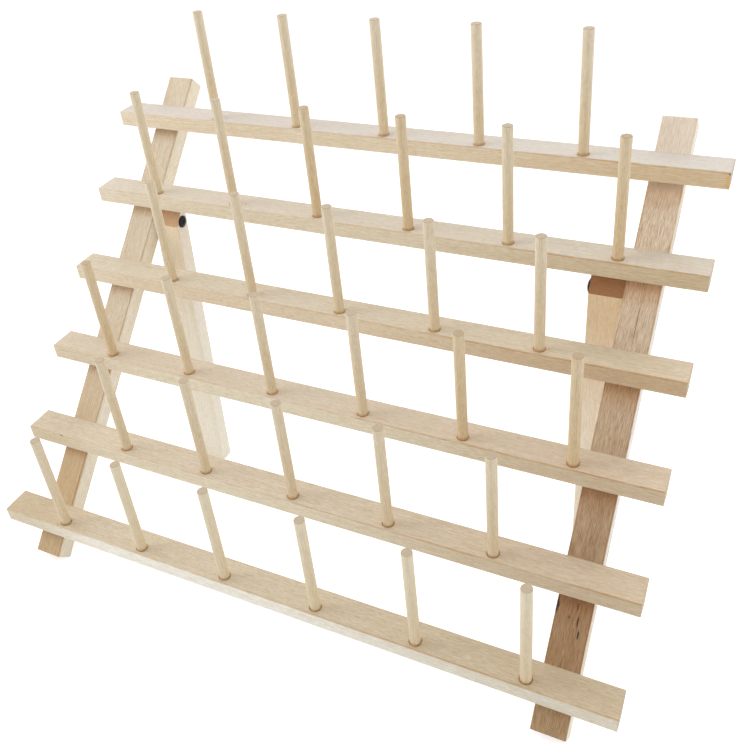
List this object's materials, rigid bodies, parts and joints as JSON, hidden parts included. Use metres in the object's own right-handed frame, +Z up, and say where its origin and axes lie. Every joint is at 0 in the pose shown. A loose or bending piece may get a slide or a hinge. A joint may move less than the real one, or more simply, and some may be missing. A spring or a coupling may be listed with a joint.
{
  "type": "thread rack",
  "caption": "Easel-style wooden thread rack: rows of slender pegs on tilted slats across side rails, with hinged legs that fold flat behind.",
  "frame": {"origin": "on the table under the middle of the rack's bounding box, with the legs open", "axes": "+X along the slats, to the right as seen from the front; -Y out of the front, the way the pegs tip; +Z up"},
  "size_m": [0.5, 0.2484, 0.4222],
  "materials": {
    "slat": "fine sanded, clear or bare",
    "peg": "fine sanded, clear or bare",
    "rail": "fine sanded, clear or bare",
    "leg": "fine sanded, clear or bare",
    "black_screw": "black, satin",
    "steel_screw": "bright zinc"
  },
  "bodies": {
    "rack": {"left_rail": "rail", "left_pivot_screw": "black_screw", "left_slat_screws": "steel_screw", "right_rail": "rail", "right_pivot_screw": "black_screw", "right_slat_screws": "steel_screw", "slat_1": "slat", "slat_2": "slat", "slat_3": "slat", "slat_4": "slat", "slat_5": "slat", "slat_6": "slat", "peg_r1_c1": "peg", "peg_r1_c2": "peg", "peg_r1_c3": "peg", "peg_r1_c4": "peg", "peg_r1_c5": "peg", "peg_r1_c6": "peg", "peg_r2_c1": "peg", "peg_r2_c2": "peg", "peg_r2_c3": "peg", "peg_r2_c4": "peg", "peg_r2_c5": "peg", "peg_r3_c1": "peg", "peg_r3_c2": "peg", "peg_r3_c3": "peg", "peg_r3_c4": "peg", "peg_r3_c5": "peg", "peg_r3_c6": "peg", "peg_r4_c1": "peg", "peg_r4_c2": "peg", "peg_r4_c3": "peg", "peg_r4_c4": "peg", "peg_r4_c5": "peg", "peg_r5_c1": "peg", "peg_r5_c2": "peg", "peg_r5_c3": "peg", "peg_r5_c4": "peg", "peg_r5_c5": "peg", "peg_r5_c6": "peg", "peg_r6_c1": "peg", "peg_r6_c2": "peg", "peg_r6_c3": "peg", "peg_r6_c4": "peg", "peg_r6_c5": "peg"},
    "left_leg": {"left_leg": "leg"},
    "right_leg": {"right_leg": "leg"}
  },
  "joints": [
    {"name": "left_leg_fold", "type": "hinge", "parent": "rack", "child": "left_leg", "pos_m": [-0.18505, 0.05276, 0.25297], "axis": [-1, 0, 0], "range_deg": [0, 42]},
    {"name": "right_leg_fold", "type": "hinge", "parent": "rack", "child": "right_leg", "pos_m": [0.18505, 0.05276, 0.25297], "axis": [-1, 0, 0], "range_deg": [0, 42]}
  ]
}
